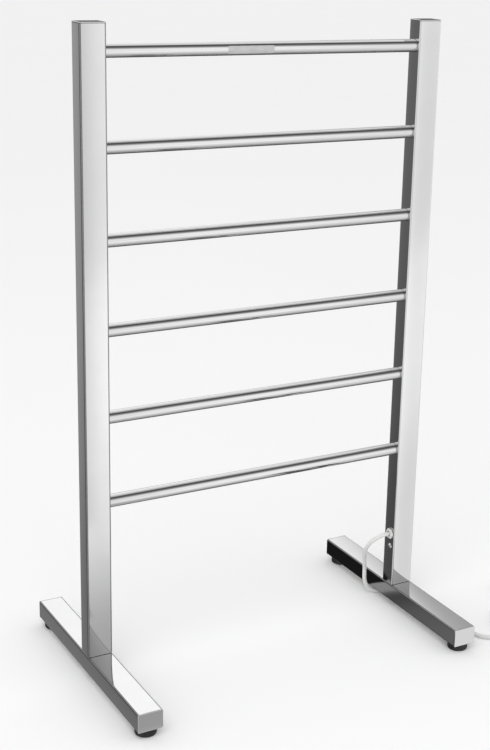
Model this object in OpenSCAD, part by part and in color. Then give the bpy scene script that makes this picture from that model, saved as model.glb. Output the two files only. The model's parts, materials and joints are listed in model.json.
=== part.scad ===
// Free-standing towel warmer: two tube posts on tube feet, six round heated bars,
// mains lead with plug. Millimetres, +Z up, origin on the floor under the middle.

/* [Frame] */
// Overall height from the floor to the post caps
overall_h = 1000; // [920:1:1080]
// Overall width across the two posts
overall_w = 600; // [520:1:700]
// Width of the post and foot tube, across the rack
tube_w = 40; // [40:0.5:46]
// Thickness of the post and foot tube
tube_t = 30; // [28:0.5:34]
// Wall of the post and foot tube
tube_wall = 1.2; // [1:0.1:1.5]
// Outer corner radius of the tube
tube_corner = 2.2; // [1.6:0.1:3]
// Length of a foot over its end plates
foot_len = 404; // [380:1:460]
// Thickness of the plates that close the tubes
cap_t = 2; // [1.6:0.1:3]

/* [Bars] */
// Number of bars
bar_count = 6; // [6]
// Outer diameter of a bar
bar_d = 20; // [18:0.5:22]
// Wall of a bar
bar_wall = 1; // [0.8:0.1:1.5]
// Distance from one bar's axis to the next
bar_pitch = 134; // [125:1:138]
// Distance from the top of the posts to the first bar's axis
bar_drop = 40; // [30:1:50]

/* [Levelling feet] */
// Height of the rubber pads under the feet
pad_h = 12; // [11:0.5:14]
// Diameter of a rubber pad
pad_d = 33; // [28:0.5:36]
// Distance of a pad's axis from the middle of its foot
pad_reach = 184; // [160:1:186]
// Diameter of the stud
stud_d = 8; // [8]

/* [Mains lead] */
// Diameter of the lead
cord_d = 7; // [6:0.1:7]
// Height of the lead's outlet
outlet_h = 136; // [130:1:150]
// Height of the dome-headed earth screw
earth_h = 112; // [105:1:115]
// Distance of the outlet and the earth screw in front of the post's centre line
outlet_front = 4; // [0:0.5:4]
// Mean radius of the stowed coil
coil_r = 35; // [35:0.5:38]

/* [Hidden] */
$fn = 48;

bar_r = bar_d / 2;
cord_r = cord_d / 2;
stud_r = stud_d / 2;
half_w = overall_w / 2;
half_foot = foot_len / 2;
post_x = half_w - tube_w / 2;          // post centre line
inner_x = half_w - tube_w;             // post face that the bars meet
foot_top = pad_h + tube_t;
running_gap = 0.05;
pad_gap = 0.3;                         // pad top to foot
bolt_x = 10;                           // base bolts either side of the post centre
base_t = 8;
outlet_y = -outlet_front;
nut_t = 3;
seal_t = 0.6;
sleeve_r = 6;
sleeve_out = 1.5;                      // sleeve end beyond the outlet nut
outlet_x = inner_x - seal_t - nut_t - sleeve_out;
m6_r = 3;
m8_nut_h = 6.5;
cable_r = 2.5;                         // heating cable
bend_r = 14;                           // heating cable bends inside the posts
lead_r = 1.8;
core_r = 1.1;
block_z = 172;                         // terminal block, lower edge
block_h = 20;
steel = "gainsboro";

function bar_z(i) = overall_h - bar_drop - (i - 1) * bar_pitch;

// ---- swept tubes: a smooth curve through hand-set points -------------------------
function unit(v) = v / norm(v);
function blend4(a, b, c, d, t) = (pow(1 - t, 3) * a + (3 * pow(t, 3) - 6 * t * t + 4) * b
    + (-3 * pow(t, 3) + 3 * t * t + 3 * t + 1) * c + pow(t, 3) * d) / 6;
function with_ends(p) = concat([2 * p[0] - p[1]], p, [2 * p[len(p) - 1] - p[len(p) - 2]]);
function smooth(p, k) = let (e = with_ends(p)) concat(
    [for (i = [0:len(p) - 2]) for (j = [0:k - 1])
        blend4(e[i], e[i + 1], e[i + 2], e[i + 3], j / k)],
    [p[len(p) - 1]]);
function tangents(p) = [for (i = [0:len(p) - 1])
    unit(p[min(i + 1, len(p) - 1)] - p[max(i - 1, 0)])];
function square_to(n, t) = unit(n - (n * t) * t);
function carried(t, n0) = [for (i = 0, n = square_to(n0, t[0]); i < len(t);
    n = i + 1 < len(t) ? square_to(n, t[i + 1]) : n, i = i + 1) n];

module swept(path, r, sides, up = [0, 0.3, 1]) {
    t = tangents(path);
    n = carried(t, up);
    last = len(path) - 1;
    ring_points = [for (i = [0:last]) for (s = [0:sides - 1])
        path[i] + r * (cos(360 * s / sides) * n[i] + sin(360 * s / sides) * cross(t[i], n[i]))];
    skin = [for (i = [0:last - 1]) for (s = [0:sides - 1])
        [i * sides + s, (i + 1) * sides + s,
         (i + 1) * sides + (s + 1) % sides, i * sides + (s + 1) % sides]];
    near_end = [for (s = [0:sides - 1]) s];
    far_end = [for (s = [sides - 1:-1:0]) last * sides + s];
    polyhedron(points = ring_points, faces = concat(skin, [near_end, far_end]));
}

// ---- shared sections ------------------------------------------------------------
module rounded(w, d, r) {
    square([w - 2 * r, d], center = true);
    square([w, d - 2 * r], center = true);
    for (x = [-1, 1], y = [-1, 1])
        translate([x * (w / 2 - r), y * (d / 2 - r)]) circle(r);
}

module tube_section(w, d) {
    difference() {
        rounded(w, d, tube_corner);
        rounded(w - 2 * tube_wall, d - 2 * tube_wall, tube_corner - tube_wall + 0.1);
    }
}

// closing plate with its outer edge rounded over, lying on z = 0
module edge_rounded_plate(w, d, t, edge = 0.9) {
    hull()
        for (a = [0:22.5:90])
            linear_extrude(height = max(0.01, t - edge + edge * sin(a)))
                rounded(w - 2 * edge * (1 - cos(a)), d - 2 * edge * (1 - cos(a)),
                    tube_corner, $fn = 32);
}

module along_x(x, y, z) { translate([x, y, z]) rotate([0, 90, 0]) children(); }
module hex(af, h) { cylinder(h = h, r = af / 2 / cos(30), $fn = 6); }

// ---- posts ------------------------------------------------------------------------
module post(side) {
    difference() {
        translate([side * post_x, 0, foot_top])
            linear_extrude(height = overall_h - cap_t - foot_top) tube_section(tube_w, tube_t);
        for (i = [1:bar_count])
            along_x(side * inner_x - 3, 0, bar_z(i)) cylinder(h = 6, r = bar_r + running_gap);
        if (side > 0) {
            along_x(inner_x - 3, outlet_y, outlet_h) cylinder(h = 6, r = sleeve_r + running_gap);
            along_x(inner_x - 3, outlet_y, earth_h) cylinder(h = 6, r = 2.6);
        }
    }
}
module left_post() { color(steel) post(-1); }
module right_post() { color(steel) post(1); }

module post_cap(side) {
    translate([side * post_x, 0, overall_h - cap_t]) edge_rounded_plate(tube_w, tube_t, cap_t);
}
module left_post_cap() { color(steel) post_cap(-1); }
module right_post_cap() { color(steel) post_cap(1); }

// ---- bars -------------------------------------------------------------------------
module bar(i) {
    span = 2 * (inner_x + tube_wall);
    color("silver") along_x(-span / 2, 0, bar_z(i)) difference() {
        cylinder(h = span, r = bar_r);
        translate([0, 0, -1]) cylinder(h = span + 2, r = bar_r - bar_wall);
    }
}

// silicone grommet that centres the heating cable in each bar end
module bar_grommets() {
    color("tomato") for (i = [1:bar_count], side = [-1, 1])
        along_x(side * (inner_x - 9) - 4, 0, bar_z(i)) difference() {
            cylinder(h = 8, r = bar_r - bar_wall - running_gap);
            translate([0, 0, -1]) cylinder(h = 10, r = cable_r + 0.2);
        }
}

// ---- feet -------------------------------------------------------------------------
module foot_tube(side) {
    tube_len = foot_len - 2 * cap_t;
    color(steel) difference() {
        translate([side * post_x, tube_len / 2, pad_h + tube_t / 2]) rotate([90, 0, 0])
            linear_extrude(height = tube_len) tube_section(tube_w, tube_t);
        for (y = [-pad_reach, pad_reach])
            translate([side * post_x, y, pad_h - 1]) cylinder(h = 4, r = stud_r + 0.5);
        for (x = [-bolt_x, bolt_x]) translate([side * post_x + x, 0, 0]) {
            translate([0, 0, pad_h - 1]) cylinder(h = 4, r = 6.5);
            translate([0, 0, foot_top - 3]) cylinder(h = 6, r = m6_r + 0.3);
        }
    }
}
module left_foot_tube() { foot_tube(-1); }
module right_foot_tube() { foot_tube(1); }

module foot_cap(side, end) {
    color(steel) translate([side * post_x, end * (half_foot - cap_t), pad_h + tube_t / 2])
        rotate([-90 * end, 0, 0]) edge_rounded_plate(tube_w, tube_t, cap_t);
}
module left_front_foot_cap() { foot_cap(-1, -1); }
module left_rear_foot_cap() { foot_cap(-1, 1); }
module right_front_foot_cap() { foot_cap(1, -1); }
module right_rear_foot_cap() { foot_cap(1, 1); }

// threaded plate in the bottom of a post, and the bolts that come up through the foot
module base_plate(side) {
    fit_w = tube_w - 2 * tube_wall - 0.4;
    fit_t = tube_t - 2 * tube_wall - 0.4;
    color("darkgray") translate([side * post_x, 0, foot_top]) difference() {
        linear_extrude(height = base_t) rounded(fit_w, fit_t, 1);
        for (x = [-bolt_x, bolt_x])
            translate([x, 0, -1]) cylinder(h = base_t + 2, r = m6_r + running_gap);
    }
}
module left_base_plate() { base_plate(-1); }
module right_base_plate() { base_plate(1); }

washer_t = 1.6;
head_h = 6;
module post_bolts() {
    color("dimgray") for (side = [-1, 1], x = [-bolt_x, bolt_x])
        translate([side * post_x + x, 0, foot_top - tube_wall - washer_t]) {
            translate([0, 0, -head_h]) difference() {
                cylinder(h = head_h, r = 5);
                translate([0, 0, -1]) hex(5, 4);
            }
            cylinder(h = washer_t + tube_wall + base_t + 3, r = m6_r);
        }
}
module post_bolt_washers() {
    color("silver") for (side = [-1, 1], x = [-bolt_x, bolt_x])
        translate([side * post_x + x, 0, foot_top - tube_wall - washer_t]) difference() {
            cylinder(h = washer_t, r = 6);
            translate([0, 0, -1]) cylinder(h = washer_t + 2, r = m6_r + 0.2);
        }
}

// ---- levelling feet ---------------------------------------------------------------
module stud_weld_nuts() {
    color("darkgray") for (side = [-1, 1], end = [-1, 1])
        translate([side * post_x, end * pad_reach, pad_h + tube_wall]) difference() {
            hex(13, m8_nut_h);
            translate([0, 0, -1]) cylinder(h = m8_nut_h + 2, r = stud_r + running_gap);
        }
}

flange_z = 4;
flange_h = 2.5;
flange_r = 10;
module stud(side, end) {
    top = foot_top - 8;
    color("silver") translate([side * post_x, end * pad_reach, 0]) {
        translate([0, 0, flange_z]) cylinder(h = flange_h, r = flange_r);
        translate([0, 0, flange_z]) cylinder(h = top - 1 - flange_z, r = stud_r);
        translate([0, 0, top - 1]) cylinder(h = 1, r1 = stud_r, r2 = stud_r - 0.8);
    }
}
module left_front_stud() { stud(-1, -1); }
module left_rear_stud() { stud(-1, 1); }
module right_front_stud() { stud(1, -1); }
module right_rear_stud() { stud(1, 1); }

module pad(side, end) {
    edge = 3;
    r = pad_d / 2;
    h = pad_h - pad_gap;
    pocket = 0.3;
    color([0.07, 0.07, 0.07]) translate([side * post_x, end * pad_reach, 0]) difference() {
        rotate_extrude() union() {
            square([r - edge, h]);
            translate([0, edge]) square([r - 0.8, h - edge]);
            translate([0, edge]) square([r, h - edge - 0.8]);
            intersection() {
                translate([r - edge, edge]) circle(edge);
                square([r, edge + 0.1]);
            }
            intersection() {
                translate([r - 0.8, h - 0.8]) circle(0.8);
                square([r, h]);
            }
        }
        translate([0, 0, flange_z - pocket])
            cylinder(h = flange_h + 2 * pocket, r = flange_r + pocket);
        translate([0, 0, flange_z]) cylinder(h = h, r = stud_r + pocket);
    }
}
module left_front_pad() { pad(-1, -1); }
module left_rear_pad() { pad(-1, 1); }
module right_front_pad() { pad(1, -1); }
module right_rear_pad() { pad(1, 1); }

// ---- heating circuit --------------------------------------------------------------
// one cable runs through all bars in turn, from the lowest to the highest
turn_x = post_x + 4;
function bend(cx, cz, from, to) = [for (k = [0:4])
    let (a = from + (to - from) * k / 4) [cx + bend_r * cos(a), 0, cz + bend_r * sin(a)]];
function climb(i, side) = concat(
    bend(side * (turn_x - bend_r), bar_z(i) + bend_r, -90, side > 0 ? 0 : -180),
    bend(side * (turn_x - bend_r), bar_z(i - 1) - bend_r, side > 0 ? 0 : -180,
        side > 0 ? 90 : -270));
cable_path = concat(
    [[turn_x - bend_r + 8, 0, bar_z(6)]],
    climb(6, -1), climb(5, 1), climb(4, -1), climb(3, 1), climb(2, -1),
    [[turn_x - bend_r + 8, 0, bar_z(1)]]);
module heating_cable() { color("saddlebrown") swept(cable_path, cable_r, 8, up = [0, 1, 0]); }

cable_end_x = turn_x - bend_r + 8;
module splice_sleeve() {
    color("black") for (i = [1, 6]) along_x(cable_end_x - 3, 0, bar_z(i)) difference() {
        cylinder(h = 9, r = 3.6);
        translate([0, 0, -1]) cylinder(h = 4.1, r = cable_r + 0.05);
    }
}
return_path = [[cable_end_x + 6, 0, bar_z(1)], [cable_end_x + 10, 0, bar_z(1)],
    [cable_end_x + 13, 3, bar_z(1) - 9], [cable_end_x + 12, 8, bar_z(1) - 26],
    [cable_end_x + 11, 9, bar_z(1) - 45], [cable_end_x + 11, 9, bar_z(1) - 80],
    [cable_end_x + 11, 9, bar_z(6) + 20], [cable_end_x + 11, 9, bar_z(6) - 22]];
module return_lead() { color("firebrick") swept(smooth(return_path, 2), lead_r, 8); }

module thermal_cutout() {
    color("ivory") translate([cable_end_x + 11 - 3.5, 5, bar_z(6) - 46]) cube([7, 8, 24]);
}
feed_path = [[cable_end_x + 6, 0, bar_z(6)], [cable_end_x + 10, 0, bar_z(6)],
    [cable_end_x + 11, -3, bar_z(6) - 12], [cable_end_x + 6, -5, bar_z(6) - 40],
    [cable_end_x + 3, -5, block_z + block_h + 20], [cable_end_x + 3, -5, block_z + block_h]];
tail_path = [[cable_end_x + 11, 9, bar_z(6) - 46], [cable_end_x + 11, 9, bar_z(6) - 54],
    [cable_end_x + 10, 7, bar_z(6) - 66], [cable_end_x + 4, 4, block_z + block_h + 10],
    [cable_end_x + 4, 4, block_z + block_h]];
module feed_lead() {
    color("royalblue") {
        swept(smooth(feed_path, 2), lead_r, 8);
        swept(smooth(tail_path, 2), lead_r, 8);
    }
}

block_x = cable_end_x - 5;
module terminal_block() {
    color("white") translate([block_x, -12, block_z]) difference() {
        cube([16, 24, block_h]);
        for (y = [4, 12, 20], z = [5, block_h - 5]) translate([-1, y, z]) rotate([0, 90, 0])
            cylinder(h = 6, r = 2.2);
    }
}
module terminal_screws() {
    color("goldenrod") for (y = [-8, 0, 8], z = [5, block_h - 5])
        translate([block_x + 2, y, block_z + z]) rotate([0, 90, 0]) cylinder(h = 3, r = 2);
}

// ---- mains outlet -----------------------------------------------------------------
module outlet_sleeve() {
    inside = inner_x + tube_wall;
    color("whitesmoke") difference() {
        union() {
            along_x(outlet_x, outlet_y, outlet_h) cylinder(h = inside - outlet_x + 6, r = sleeve_r);
            along_x(inside, outlet_y, outlet_h) cylinder(h = 2.5, r = 8.5);
        }
        along_x(outlet_x - 1, outlet_y, outlet_h) cylinder(h = 7, r = 5);
        along_x(outlet_x - 1, outlet_y, outlet_h) cylinder(h = 30, r = cord_r + 0.1);
    }
}
module outlet_nut() {
    color("white") along_x(outlet_x + sleeve_out, outlet_y, outlet_h) difference() {
        hex(16, nut_t);
        translate([0, 0, -1]) cylinder(h = nut_t + 2, r = sleeve_r + running_gap);
    }
}
module outlet_seal() {
    color([0.1, 0.1, 0.1]) along_x(inner_x - seal_t, outlet_y, outlet_h) difference() {
        cylinder(h = seal_t, r = 8.6);
        translate([0, 0, -1]) cylinder(h = 3, r = sleeve_r + running_gap);
    }
}
module cord_seal_ring() {
    color([0.2, 0.2, 0.2]) along_x(outlet_x + 0.6, outlet_y, outlet_h) difference() {
        cylinder(h = 5.2, r = 4.95);
        translate([0, 0, -1]) cylinder(h = 8, r = cord_r + 0.05);
    }
}

// dome-headed earth screw through the post wall
module earth_screw() {
    dome_r = 5;
    dome_h = 2.8;
    ball = (dome_r * dome_r + dome_h * dome_h) / (2 * dome_h);
    color("silver") translate([inner_x, outlet_y, earth_h]) rotate([0, -90, 0]) difference() {
        union() {
            intersection() {
                translate([0, 0, dome_h - ball]) sphere(r = ball);
                cylinder(h = dome_h + 1, r = dome_r + 1);
            }
            translate([0, 0, -13]) cylinder(h = 13.5, r = 2.5);
        }
        translate([0, 0, dome_h - 1.6]) hex(3, 3);
    }
}
module earth_nut() {
    color("goldenrod") along_x(inner_x + tube_wall + 1.2, outlet_y, earth_h) difference() {
        hex(8, 4);
        translate([0, 0, -1]) cylinder(h = 6, r = 2.5 + running_gap);
    }
}
module earth_ring_lug() {
    color("goldenrod") along_x(inner_x + tube_wall, outlet_y, earth_h) difference() {
        union() {
            cylinder(h = 1, r = 5.5);
            translate([-11, -2.5, 0]) cube([8, 5, 1]);
        }
        translate([0, 0, -1]) cylinder(h = 3, r = 2.5 + running_gap);
    }
}

core_x = inner_x + tube_wall + 6.6;
module cord_inlet_end() {
    color("white") along_x(outlet_x, outlet_y, outlet_h) cylinder(h = core_x - outlet_x, r = cord_r);
}
function core_path(y, spread) = [[core_x, outlet_y + spread, outlet_h],
    [core_x + 4, outlet_y + spread, outlet_h], [core_x + 9, y, outlet_h + 12],
    [block_x + 8, y, block_z - 12], [block_x + 8, y, block_z]];
module mains_cores() {
    color("royalblue") {
        swept(smooth(core_path(-8, -1.8), 2), core_r, 8);
        swept(smooth(core_path(8, 1.8), 2), core_r, 8);
    }
}
module earth_wire() {
    color("yellowgreen") {
        swept(smooth([[core_x, outlet_y, outlet_h - 2], [core_x + 3.5, outlet_y, outlet_h - 2],
            [core_x + 5, outlet_y, outlet_h - 10], [core_x - 2, outlet_y, earth_h + 12],
            [inner_x + tube_wall + 1.9, outlet_y, earth_h + 10.5]], 2), core_r, 8);
    }
}

// blank heat-proof film on the front of the top bar
module rating_film() {
    film = 0.15;
    film_len = 76;
    color("lightgray") along_x(-70, 0, bar_z(1)) intersection() {
        difference() {
            cylinder(h = film_len, r = bar_r + film);
            translate([0, 0, -1]) cylinder(h = film_len + 2, r = bar_r);
        }
        translate([-4.5, -2 * bar_r, -1]) cube([11.5, 2 * bar_r, film_len + 2]);
    }
}

// ---- mains lead -------------------------------------------------------------------
// out of the post, down to the floor, under the right foot and forward to the coil
lead_route = [[outlet_x, outlet_y, outlet_h], [249.2, -3.8, 135.8], [239.2, -1.8, 133.1],
    [231.3, 2.3, 127.5], [226.6, 8, 120.1], [225.7, 15.6, 110], [228.7, 26, 96.9],
    [235.1, 36.9, 82.7], [241.8, 45.5, 67.9], [245.5, 49.9, 53.6], [246, 50.3, 41],
    [245.7, 49.8, 30.5], [248.3, 48.8, 19], [255, 47.6, 9.8], [264.5, 46.6, 4.4],
    [276, 45.8, 3.1], [288, 45, 3.5], [300, 44, 3.5], [312, 39.5, 3.5], [321, 31, 3.5],
    [326.5, 19, 3.5], [328, 5, 3.5], [328, -30, 3.5], [328, -60, 3.5], [328, -90, 3.5],
    [328, -120, 3.5], [328, -143, 3.5], [328, -157, 3.5], [330.5, -171, 3.5],
    [338, -183, 3.5], [350, -190, 3.5], [364, -192, 3.5], [385, -192, 3.5],
    [408, -192, 3.5], [431, -192, 3.5]];
coil_x = 431;
coil_y = -150;
coil_h = 2 * cord_d;                   // two layers of
coil_span = 3 * cord_d;                // three turns
tail_route = [[473, -150, 10.5], [473, -138, 10.5], [474, -127, 9.3],
    [476.8, -116, 8], [479.3, -107, 8.3], [480, -99, 9]];
// the lead rests on the floor and never dips below it
function on_floor(p) = [for (q = p) [q.x, q.y, max(q.z, cord_r)]];
module cord_lead() { color("white") swept(on_floor(smooth(lead_route, 2)), cord_r, 10); }
module cord_coil() {
    color("white") translate([coil_x, coil_y, 0]) rotate_extrude()
        translate([coil_r - coil_span / 2, 0]) square([coil_span, coil_h]);
}
module cord_tail() { color("white") swept(on_floor(smooth(tail_route, 2)), cord_r, 10); }

plug_x = 480;
plug_y = -99;                          // where the lead enters the strain relief
plug_z = 9;
relief_len = 22;
module plug_strain_relief() {
    color("white") translate([plug_x, plug_y + relief_len, plug_z]) rotate([90, 0, 0])
        cylinder(h = relief_len, r1 = 6.5, r2 = 4.4);
}
module plug_body() {
    color("white") translate([plug_x, plug_y + relief_len, plug_z]) hull() {
        translate([-7, 0, -6]) cube([14, 1, 12]);
        translate([-13, 10, -9]) cube([26, 20, 18]);
        translate([-13, 29, -9]) cube([26, 1, 18]);
    }
}
blade_y = plug_y + relief_len + 30;
module plug_blades() {
    color("goldenrod") for (x = [-6.35, 6.35])
        translate([plug_x + x - 0.75, blade_y, plug_z - 6]) cube([1.5, 16, 6.4]);
}
module plug_earth_pin() {
    color("goldenrod") translate([plug_x, blade_y, plug_z + 5]) rotate([-90, 0, 0]) {
        cylinder(h = 16, r = 2.35);
        translate([0, 0, 16]) cylinder(h = 2, r1 = 2.35, r2 = 1.2);
    }
}
module cord_tie() {
    loop = 0.8;
    color("black") translate([coil_x - coil_r, coil_y, coil_h / 2]) rotate([90, 0, 0])
        linear_extrude(height = 6, center = true) difference() {
            square([coil_span + 2 * loop, coil_h], center = true);
            square([coil_span, coil_h + 1], center = true);
        }
}

left_post();
right_post();
left_post_cap();
right_post_cap();
for (i = [1:bar_count]) bar(i);
left_foot_tube();
right_foot_tube();
left_front_foot_cap();
left_rear_foot_cap();
right_front_foot_cap();
right_rear_foot_cap();
left_base_plate();
right_base_plate();
post_bolts();
post_bolt_washers();
stud_weld_nuts();
left_front_stud();
left_rear_stud();
right_front_stud();
right_rear_stud();
left_front_pad();
left_rear_pad();
right_front_pad();
right_rear_pad();
heating_cable();
bar_grommets();
return_lead();
feed_lead();
splice_sleeve();
thermal_cutout();
terminal_block();
terminal_screws();
mains_cores();
earth_wire();
outlet_sleeve();
outlet_nut();
outlet_seal();
cord_seal_ring();
earth_screw();
earth_nut();
earth_ring_lug();
rating_film();
cord_inlet_end();
cord_lead();
cord_coil();
cord_tail();
plug_strain_relief();
plug_body();
plug_blades();
plug_earth_pin();
cord_tie();
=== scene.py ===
"""Free-standing towel warmer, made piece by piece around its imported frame. Metres, +Z up."""
import json
import math

import bmesh
import bpy
from bpy.props import FloatProperty, FloatVectorProperty, IntProperty, PointerProperty
from mathutils import Matrix, Vector

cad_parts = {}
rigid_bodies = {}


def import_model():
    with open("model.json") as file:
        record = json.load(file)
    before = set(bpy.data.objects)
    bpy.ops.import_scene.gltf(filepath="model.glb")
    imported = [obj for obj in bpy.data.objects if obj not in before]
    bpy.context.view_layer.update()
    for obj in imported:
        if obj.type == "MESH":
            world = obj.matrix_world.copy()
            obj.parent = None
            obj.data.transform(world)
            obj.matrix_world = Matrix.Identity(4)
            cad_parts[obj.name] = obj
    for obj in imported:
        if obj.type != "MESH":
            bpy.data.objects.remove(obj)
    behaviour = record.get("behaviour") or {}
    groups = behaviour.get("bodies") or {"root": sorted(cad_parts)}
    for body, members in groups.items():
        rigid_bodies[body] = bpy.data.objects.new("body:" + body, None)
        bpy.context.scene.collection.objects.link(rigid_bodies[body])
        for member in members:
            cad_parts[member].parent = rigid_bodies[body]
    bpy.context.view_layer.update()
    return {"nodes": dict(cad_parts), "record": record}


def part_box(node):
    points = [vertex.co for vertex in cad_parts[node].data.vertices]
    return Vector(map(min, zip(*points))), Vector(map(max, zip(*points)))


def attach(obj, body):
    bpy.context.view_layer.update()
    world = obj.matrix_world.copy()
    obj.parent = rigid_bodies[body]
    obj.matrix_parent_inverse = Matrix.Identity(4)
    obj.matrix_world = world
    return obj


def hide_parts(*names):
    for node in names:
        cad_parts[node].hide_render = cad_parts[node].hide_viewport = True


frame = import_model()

bl_info = {
    "name": "Towel Warmer",
    "version": (1, 0, 0),
    "blender": (4, 5, 0),
    "location": "View3D > Sidebar > Towel Warmer",
    "description": "Builds a free-standing towel warmer with levelling feet and a mains lead",
    "category": "Add Mesh",
}

CORNERS = ("left_front", "left_rear", "right_front", "right_rear")
BARS = tuple(f"bar_{i}" for i in range(1, 7))


def middle(node):
    low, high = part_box(node)
    return (low + high) / 2


def extent(node):
    low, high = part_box(node)
    return high - low


# ---- what a user may change ------------------------------------------------------

class TowelRackSizes(bpy.types.PropertyGroup):
    tube_corner: FloatProperty(
        name="Tube corner radius", description="Outer corner radius of the rectangular tube",
        default=0.0025, min=0.0012, max=0.004, unit="LENGTH", subtype="DISTANCE")
    tube_wall: FloatProperty(
        name="Tube wall", description="Wall thickness of the rectangular tube",
        default=0.0012, min=0.0008, max=0.002, unit="LENGTH", subtype="DISTANCE")
    face_crown: FloatProperty(
        name="Face crown", description="How far the middle of a tube face stands proud",
        default=0.00018, min=0.0, max=0.0004, unit="LENGTH", subtype="DISTANCE")
    plate_edge: FloatProperty(
        name="End plate rounding", description="Rounding of the outer edge of an end plate",
        default=0.0009, min=0.0003, max=0.0018, unit="LENGTH", subtype="DISTANCE")
    seam: FloatProperty(
        name="Seam", description="Small break of the edge where two polished parts meet",
        default=0.00022, min=0.00005, max=0.0006, unit="LENGTH", subtype="DISTANCE")
    joint_gap: FloatProperty(
        name="Joint gap", description="Shadow line between a tube and the part closing it",
        default=0.0006, min=0.0001, max=0.001, unit="LENGTH", subtype="DISTANCE")
    bar_hole_gap: FloatProperty(
        name="Bar hole gap", description="Gap round a bar where it enters a post",
        default=0.0003, min=0.0001, max=0.001, unit="LENGTH", subtype="DISTANCE")
    thread_pitch: FloatProperty(
        name="Stud thread pitch", description="Rise of the levelling stud in one turn",
        default=0.00125, min=0.0008, max=0.002, unit="LENGTH", subtype="DISTANCE")
    lead_diameter: FloatProperty(
        name="Lead diameter", description="Outer diameter of the mains lead",
        default=0.007, min=0.005, max=0.009, unit="LENGTH", subtype="DISTANCE")
    lead_length: FloatProperty(
        name="Lead length", description="Length of the mains lead from outlet to plug",
        default=1.5, min=1.35, max=1.65, unit="LENGTH", subtype="DISTANCE")
    turns_per_lap: IntProperty(
        name="Lead points per turn", description="Points in each turn of the stowed coil",
        default=44, min=12, max=96)


class TowelRackFinish(bpy.types.PropertyGroup):
    steel: FloatVectorProperty(
        name="Polished steel", description="Colour of the polished tube", subtype="COLOR",
        default=(0.705, 0.705, 0.706), size=3, min=0, max=1)
    steel_roughness: FloatProperty(
        name="Polish", description="Roughness of the polished tube",
        default=0.06, min=0.0, max=0.5, subtype="FACTOR")
    rubber: FloatVectorProperty(
        name="Pad rubber", description="Colour of the levelling pads", subtype="COLOR",
        default=(0.012, 0.012, 0.013), size=3, min=0, max=1)
    sheath: FloatVectorProperty(
        name="Lead sheath", description="Colour of the mains lead and plug", subtype="COLOR",
        default=(0.78, 0.78, 0.77), size=3, min=0, max=1)
    nylon: FloatVectorProperty(
        name="Outlet nylon", description="Colour of the outlet nut and sleeve", subtype="COLOR",
        default=(0.80, 0.80, 0.79), size=3, min=0, max=1)
    brass: FloatVectorProperty(
        name="Brass", description="Colour of the brass parts", subtype="COLOR",
        default=(0.72, 0.53, 0.24), size=3, min=0, max=1)


class TowelRackStudio(bpy.types.PropertyGroup):
    camera_at: FloatVectorProperty(
        name="Camera", description="Camera position", subtype="XYZ", unit="LENGTH", size=3,
        default=(-1.0277, -1.8598, 1.1316))
    heading: FloatProperty(
        name="Heading", description="Direction of view to the right of +Y",
        default=math.radians(30.850), subtype="ANGLE", unit="ROTATION")
    tilt: FloatProperty(
        name="Tilt", description="Direction of view above the horizon",
        default=math.radians(-16.470), subtype="ANGLE", unit="ROTATION")
    roll: FloatProperty(
        name="Roll", description="Turn of the camera about its line of view",
        default=math.radians(1.803), subtype="ANGLE", unit="ROTATION")
    lens: FloatProperty(
        name="Lens", description="Focal length", default=68.112, min=20, max=200,
        unit="CAMERA")
    floor_tone: FloatProperty(
        name="Floor tone", description="Lightness of the studio floor",
        default=0.95, min=0, max=1, subtype="FACTOR")
    room_light: FloatProperty(
        name="Room light", description="Strength of the even light from all round",
        default=1.16, min=0, max=4)
    key_light: FloatProperty(
        name="Key light", description="Power of the soft light above the front",
        default=17.0, min=0, max=400, unit="POWER")


# ---- meshes ------------------------------------------------------------------------

def placed(name, mesh, *finishes):
    """A new object in the scene for a mesh, with its finishes."""
    piece = bpy.data.objects.new(name, mesh)
    bpy.context.scene.collection.objects.link(piece)
    for finish in finishes:
        mesh.materials.append(finish)
    return piece


def mesh_from(name, points, faces):
    mesh = bpy.data.meshes.new(name)
    mesh.from_pydata([tuple(p) for p in points], [], faces)
    mesh.validate()
    return mesh


def baked(piece):
    """Turns a piece's modifiers into plain mesh and removes them."""
    graph = bpy.context.evaluated_depsgraph_get()
    mesh = bpy.data.meshes.new_from_object(piece.evaluated_get(graph))
    old = piece.data
    piece.modifiers.clear()
    piece.data = mesh
    mesh.name = piece.name
    if old.users == 0:
        (bpy.data.curves if isinstance(old, bpy.types.Curve) else bpy.data.meshes).remove(old)
    return piece


def smoothed(piece, angle=32.0, weighted=True):
    """Smooth shading with edges kept sharp past the angle, flats kept flat."""
    piece.data.shade_smooth()
    piece.data.set_sharp_from_angle(angle=math.radians(angle))
    if weighted:
        flats = piece.modifiers.new("flats", "WEIGHTED_NORMAL")
        flats.keep_sharp = True
        flats.weight = 100
        baked(piece)
    return piece


def cut(piece, cutters, edge):
    """Cuts round holes in a piece and breaks its sharp edges."""
    for i, cutter in enumerate(cutters):
        hole = piece.modifiers.new(f"hole_{i}", "BOOLEAN")
        hole.operation, hole.solver, hole.object = "DIFFERENCE", "EXACT", cutter
    baked(piece)
    for cutter in cutters:
        mesh = cutter.data
        bpy.data.objects.remove(cutter)
        bpy.data.meshes.remove(mesh)
    if edge:
        broken = piece.modifiers.new("edges", "BEVEL")
        broken.width, broken.segments = edge, 2
        broken.limit_method, broken.angle_limit = "ANGLE", math.radians(40)
        broken.use_clamp_overlap = True
        baked(piece)
    return piece


def round_cutter(centre, axis, radius, length, sides=64):
    shape = bmesh.new()
    turn = Vector((0, 0, 1)).rotation_difference(Vector(axis)).to_matrix().to_4x4()
    bmesh.ops.create_cone(
        shape, cap_ends=True, segments=sides, radius1=radius, radius2=radius, depth=length,
        matrix=Matrix.Translation(centre) @ turn)
    mesh = bpy.data.meshes.new("cutter")
    shape.to_mesh(mesh)
    shape.free()
    return placed("cutter", mesh)


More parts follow.
